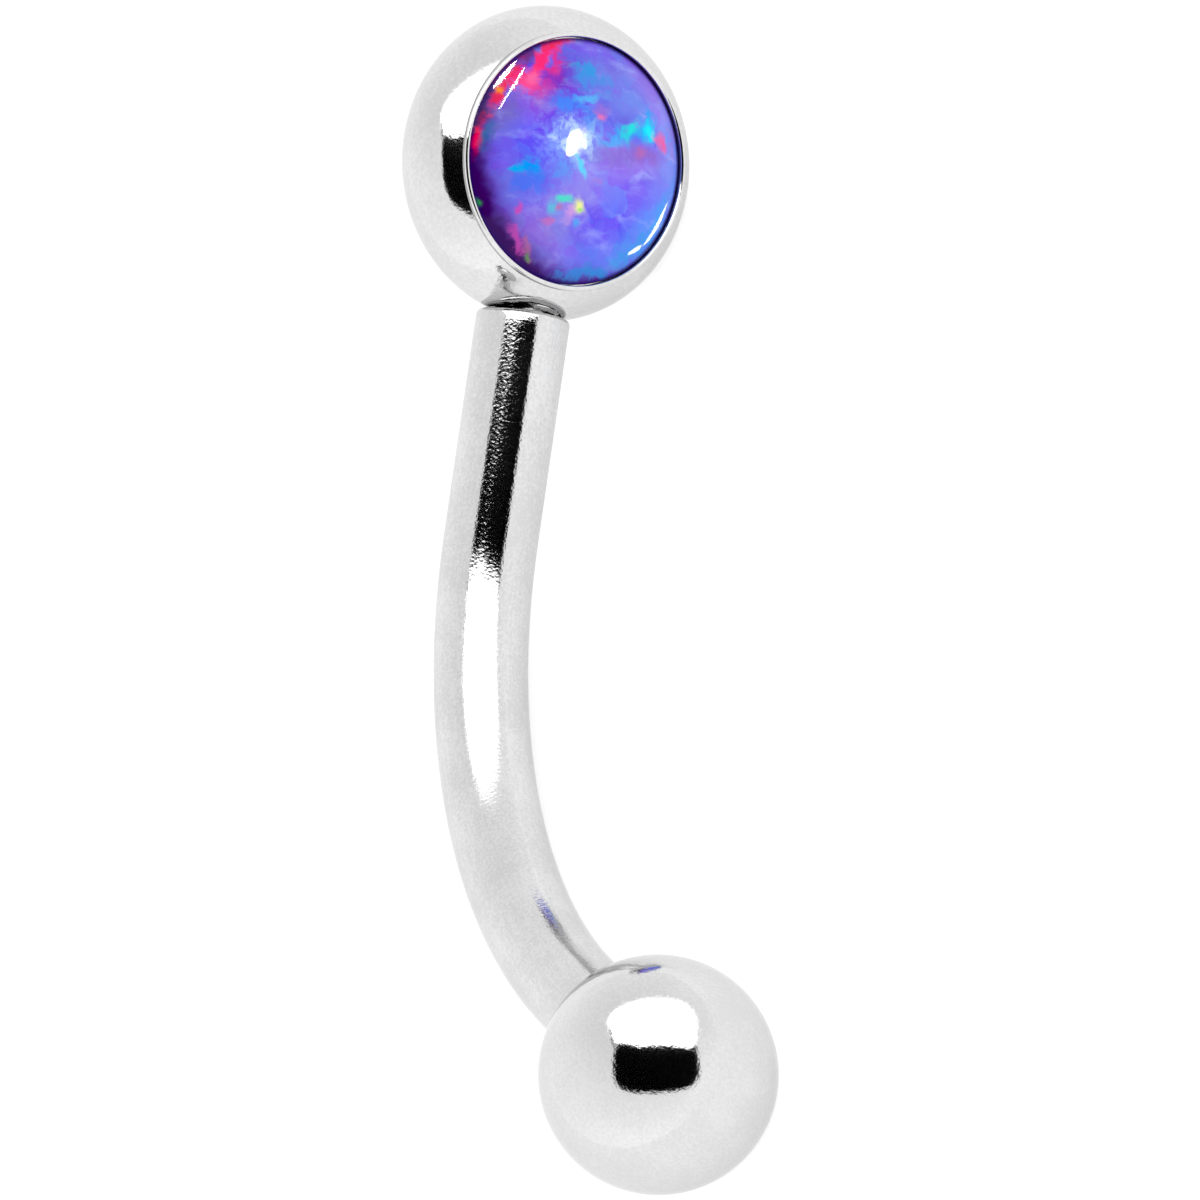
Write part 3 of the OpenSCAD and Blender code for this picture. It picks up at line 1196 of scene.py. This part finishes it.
        # Painted shade: a thin dark purple line all round the stone's edge, where it meets the lip.
        rim = sheet.spread(sheet.vector("LENGTH", place_on_face), 0.96, 0.995, 0.85)
        colour = sheet.mix(rim, colour, linear(44, 4, 110))
        richness = {"Saturation": self.saturation, "Value": self.brightness, "Color": colour}
        rich = sheet.add("ShaderNodeHueSaturation", None, richness).outputs[0]
        ripple = sheet.noise(place_on_face, 13.0).outputs[0]
        inputs = {
            "Base Color": sheet.vector("MULTIPLY", rich, (1.0 / self.lit_by,) * 3),
            "Roughness": self.roughness,
            "IOR": self.refraction,
            "Specular IOR Level": self.shine,
            "Normal": sheet.bump(ripple, self.relief),
        }
        sheet.surface("ShaderNodeBsdfPrincipled", inputs)
        return bpy.data.materials[self.name]


@dataclass(frozen=True)
class Viewpoint:
    """Where the camera stands, as the photograph's outlines give it."""

    azimuth: float = 131.83 * DEGREE
    elevation: float = 47.0 * DEGREE
    roll: float = 56.65 * DEGREE
    distance: float = 0.4
    aim: Vector = field(default_factory=lambda: Vector((-1.496, -0.443, -0.377)) * MM)
    pixels_per_metre: float = 79370.0

    @property
    def back(self) -> Vector:
        """Which way the camera looks from.

        Returns:
            The way from the aim to the camera.
        """
        level = math.cos(self.elevation)
        aside = math.sin(self.azimuth) * level
        ahead = -math.cos(self.azimuth) * level
        return Vector((aside, ahead, math.sin(self.elevation)))

    @property
    def up(self) -> Vector:
        """How the camera is rolled.

        Returns:
            The way that is up in the picture.
        """
        level = (-self.back).cross(Vector((0, 0, 1))).normalized()
        plumb = self.back.cross(level)
        return math.cos(self.roll) * plumb + math.sin(self.roll) * level

    @property
    def right(self) -> Vector:
        """The way that is to the right in the picture."""
        return self.up.cross(self.back)

    @property
    def eye(self) -> Vector:
        """Where the camera stands."""
        return self.aim + self.distance * self.back

    def at(self, right: float, up: float, back: float) -> Vector:
        """A point that lies so far to the right, up and towards the camera from the aim."""
        return self.aim + right * self.right + up * self.up + back * self.back

    def camera(self) -> None:
        """Make the camera."""
        data = bpy.data.cameras.new("camera")
        data.sensor_width = SENSOR_WIDTH
        focal_pixels = self.pixels_per_metre * self.distance
        data.lens = data.sensor_width * focal_pixels / PICTURE_SIDE
        data.clip_start = 0.01
        data.clip_end = 10.0
        camera = bpy.data.objects.new("camera", data)
        bpy.context.scene.collection.objects.link(camera)
        camera.matrix_world = aimed(self.eye, self.back, self.right)
        bpy.context.scene.camera = camera


class Stand(Enum):
    """How a card stands: square to the camera, or overhead as a roof."""

    UPRIGHT = "upright"
    OVERHEAD = "overhead"


@dataclass(frozen=True)
class Card:
    """A soft-edged card near the object that only polished surfaces show.

    The middle is so many metres to the right, up and towards the camera, as the picture has them. The soft
    edge is a share of the half width and height, and a higher corner makes the corners squarer. A tapered
    card gets narrower towards its top by that share of the height, a cut one has no lower left corner past
    that sum of distances to the left and down, and a turned one is turned about its own normal.
    """

    name: str
    middle: tuple[float, float, float]
    stand: Stand
    half_width: float
    half_height: float
    soft: float
    light: float
    corner: float = 4.0
    taper: float = 0.0
    cut: float = 0.0
    turn: float = 0.0


CARDS = (
    Card(
        name="dark_lens",
        middle=(-3 * MM, 10 * MM, 58 * MM),
        stand=Stand.UPRIGHT,
        half_width=50 * MM,
        half_height=33 * MM,
        soft=0.13,
        light=0.0,
        taper=-0.06,
        turn=3 * DEGREE,
    ),
    Card(
        name="soft_box",
        middle=(-4 * MM, 22 * MM, 37.5 * MM),
        stand=Stand.OVERHEAD,
        half_width=35 * MM,
        half_height=27 * MM,
        soft=0.16,
        light=3.2,
        corner=5.0,
        taper=0.5,
        cut=36 * MM,
    ),
    Card(
        name="box_frame",
        middle=(-35 * MM, 21.7 * MM, 36 * MM),
        stand=Stand.OVERHEAD,
        half_width=1.2 * MM,
        half_height=20 * MM,
        soft=0.5,
        light=0.0,
        corner=8.0,
        turn=-29 * DEGREE,
    ),
)


@dataclass(frozen=True)
class Glint:
    """A lamp that only the stone mirrors.

    Right, up, width and height say where on the stone's face its image is seen and how large it is, in
    radii of the stone. The turn is the way of its width, from the right towards up, in degrees.
    """

    name: str
    right: float
    up: float
    width: float
    height: float
    turn: float
    light: float
    distance: float = 0.3


GLINTS = (
    Glint("star_glint", -0.15, 0.12, 0.17, 0.18, 0, 300.0),
    Glint("star_crown", -0.11, 0.20, 0.10, 0.11, 30, 300.0),
    Glint("star_foot", -0.20, 0.04, 0.09, 0.08, 30, 300.0),
    Glint("rim_glint", 0.85, -0.36, 0.035, 0.42, -24, 60.0, 0.3 * MM),
    Glint("rim_spot", 0.66, -0.61, 0.035, 0.14, -52, 60.0, 0.6 * MM),
    Glint("window_glint", -0.775, 0.575, 0.04, 0.34, -33, 300.0),
    Glint("window_line", -0.72, 0.46, 0.02, 0.46, -27, 160.0),
)


@dataclass(frozen=True)
class Studio:
    """An even white room with a pale floor, and the cards and lamps that the polish mirrors."""

    view: Viewpoint
    layout: Layout
    room_light: float = 1.4
    room_lean: tuple[float, float] = (-0.15, -0.09)
    floor_size: float = 6.0
    floor_tone: float = 0.7
    floor_glow: float = 0.52

    def floor(self) -> None:
        """Lay the floor, a white sheet that is lit a little from below."""
        bpy.ops.object.select_all(action="DESELECT")
        bpy.ops.mesh.primitive_plane_add(size=self.floor_size, location=(0, 0, 0))
        floor = bpy.context.object
        floor.name = "floor"
        sheet = Sheet.of_material("pale floor")
        tone = self.floor_tone
        lit = sheet.add("ShaderNodeBsdfDiffuse", None, {"Color": (tone, tone, tone, 1.0)})
        glow = sheet.add("ShaderNodeEmission", None, {"Strength": self.floor_glow})
        sheet.surface("ShaderNodeAddShader", {0: lit.outputs[0], 1: glow.outputs[0]})
        floor.data.materials.append(bpy.data.materials["pale floor"])

    def room(self) -> None:
        """Fill the world with soft white light that is a little stronger at the picture's lower left."""
        scene = bpy.context.scene
        scene.view_settings.view_transform = "Standard"
        world = bpy.data.worlds.new("white room")
        world.use_nodes = True
        world.node_tree.nodes.clear()
        sheet = Sheet(world.node_tree)
        lean = self.room_lean[0] * Vector((0, 0, 1)) + self.room_lean[1] * self.view.up
        way = sheet.add("ShaderNodeTexCoord").outputs["Generated"]
        share = sheet.math("ADD", sheet.vector("DOT_PRODUCT", way, lean), 1.0)
        level = sheet.math("MULTIPLY", share, self.room_light)
        light = sheet.add("ShaderNodeBackground", None, {"Color": WHITE, "Strength": level})
        sheet.add("ShaderNodeOutputWorld", None, {"Surface": light.outputs[0]})
        scene.world = world

    def card_finish(self, card: Card, where: Matrix) -> bpy.types.Material:
        """Make a card's material: even light that fades out towards its rounded outline.

        A cut card fades out towards its cut corner too.

        Args:
            card: the card.
            where: its place.

        Returns:
            The material.
        """
        sheet = Sheet.of_material(card.name)
        parts = sheet.add("ShaderNodeSeparateXYZ", None, {0: sheet.seen_from(where)}).outputs
        narrowed = sheet.math("MULTIPLY", parts[1], card.taper)
        half_width = sheet.math("SUBTRACT", card.half_width, narrowed)
        powers = []
        for part, half in ((parts[0], half_width), (parts[1], card.half_height)):
            share = sheet.math("DIVIDE", sheet.math("ABSOLUTE", part), half)
            powers.append(sheet.math("POWER", share, card.corner))
        far = sheet.math("POWER", sheet.math("ADD", *powers), 1 / card.corner)
        light = sheet.add("ShaderNodeEmission", None, {"Strength": card.light})
        clear = sheet.add("ShaderNodeBsdfTransparent")
        share = sheet.spread(far, 1.0, 1.0 - card.soft)
        if card.cut:
            reach = sheet.math("ADD", parts[0], parts[1])
            share = sheet.math("MULTIPLY", share, sheet.spread(reach, -card.cut, CUT_SOFT - card.cut))
        sheet.surface("ShaderNodeMixShader", {0: share, 1: clear.outputs[0], 2: light.outputs[0]})
        return bpy.data.materials[card.name]

    def hang(self, card: Card) -> None:
        """Hang a card where only polished surfaces show it.

        Args:
            card: the card.
        """
        along = self.view.back if card.stand is Stand.UPRIGHT else self.view.up
        middle = self.view.at(*card.middle)
        where = aimed(middle, along, self.view.right) @ Matrix.Rotation(card.turn, 4, "Z")
        bpy.ops.object.select_all(action="DESELECT")
        bpy.ops.mesh.primitive_plane_add(size=2.0)
        piece = bpy.context.object
        piece.name = card.name
        piece.scale = (card.half_width + card.taper * card.half_height, card.half_height, 1.0)
        bpy.ops.object.transform_apply(location=True, rotation=True, scale=True)
        place(piece, where)
        piece.data.materials.append(self.card_finish(card, where))
        piece.visible_camera = False
        piece.visible_diffuse = False
        piece.visible_shadow = False

    def mirrored(self, end: OpalEnd, right: float, up: float, distance: float) -> tuple[Vector, Vector]:
        """Follow a look from the camera off the stone's dome.

        Args:
            end: the stone's sizes.
            right: where it meets the stone's face, in radii of the stone.
            up: the same, upwards.
            distance: how far to follow it from there.

        Returns:
            The point that it comes to, and the way that it goes.
        """
        across = right * end.stone_r
        upward = up * end.stone_r
        out = Vector((across, upward, math.sqrt(end.dome_r**2 - across**2 - upward**2)))
        spot = self.layout.face @ (out + Vector((0, 0, end.dome_middle)))
        normal = (self.layout.face.to_3x3() @ out).normalized()
        way = (spot - self.view.eye).normalized().reflect(normal)
        return spot + distance * way, way

    def light_up(self, glint: Glint, end: OpalEnd, stone: bpy.types.Object) -> None:
        """Set a lamp where the stone's dome mirrors it to the camera.

        Args:
            glint: the lamp.
            end: the stone's sizes.
            stone: the stone, which alone shows the lamp.
        """
        middle, way = self.mirrored(end, glint.right, glint.up, glint.distance)
        sides = []
        for size, degrees in ((glint.width, glint.turn), (glint.height, glint.turn + 90)):
            turn = degrees * DEGREE
            across = size / 2 * math.cos(turn)
            upward = size / 2 * math.sin(turn)
            first = self.mirrored(end, glint.right - across, glint.up - upward, glint.distance)[0]
            last = self.mirrored(end, glint.right + across, glint.up + upward, glint.distance)[0]
            sides.append(last - first)
        where = aimed(middle, way, sides[1].cross(way))
        data = bpy.data.lights.new(glint.name, "AREA")
        data.shape = "ELLIPSE"
        data.size = abs(sides[0].dot(where.col[0].to_3d()))
        data.size_y = sides[1].length
        data.energy = glint.light * math.pi * data.size * data.size_y
        lamp = bpy.data.objects.new(glint.name, data)
        bpy.context.scene.collection.objects.link(lamp)
        lamp.matrix_world = where
        lamp.visible_camera = False
        lamp.visible_diffuse = False
        only_stone = bpy.data.collections.new(glint.name)
        only_stone.objects.link(stone)
        lamp.light_linking.receiver_collection = only_stone
        lamp.light_linking.blocker_collection = only_stone

    def build(self, end: OpalEnd, stone: bpy.types.Object) -> None:
        """Build the whole studio round the object.

        Args:
            end: the stone's sizes.
            stone: the stone, which the lamps light.
        """
        self.room()
        self.floor()
        for card in CARDS:
            self.hang(card)
        for glint in GLINTS:
            self.light_up(glint, end, stone)


def dress(piece: bpy.types.Object, body: str, node: str, finish: bpy.types.Material) -> None:
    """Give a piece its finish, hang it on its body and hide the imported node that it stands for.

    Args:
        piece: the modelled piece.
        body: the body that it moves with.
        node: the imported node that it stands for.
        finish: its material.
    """
    piece.data.materials.clear()
    piece.data.materials.append(finish)
    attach(piece, body)
    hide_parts(node)
    log.info("%s: %d faces, on %s", piece.name, len(piece.data.polygons), body)


def main() -> None:
    """Build the barbell and the studio."""
    logging.basicConfig(level=logging.INFO, format="%(name)s: %(message)s")
    layout = Layout.from_record(frame["record"])
    view = Viewpoint()
    view.camera()
    marks = polish_group()
    dress(CurvedBar(layout).model(), "bar", "curved_bar", BAR_STEEL.material(marks))
    end = OpalEnd(layout)
    dress(end.setting(), "opal_end", "opal_setting", SETTING_STEEL.material(marks))
    opal = OpalFinish(layout, end.stone_r)
    stone = end.stone()
    dress(stone, "opal_end", "opal_cabochon", opal.material())
    dress(PlainBall(layout).model(), "ball_end", "plain_ball", BALL_STEEL.material(marks))
    Studio(view, layout).build(end, stone)


if __name__ == "__main__":
    main()
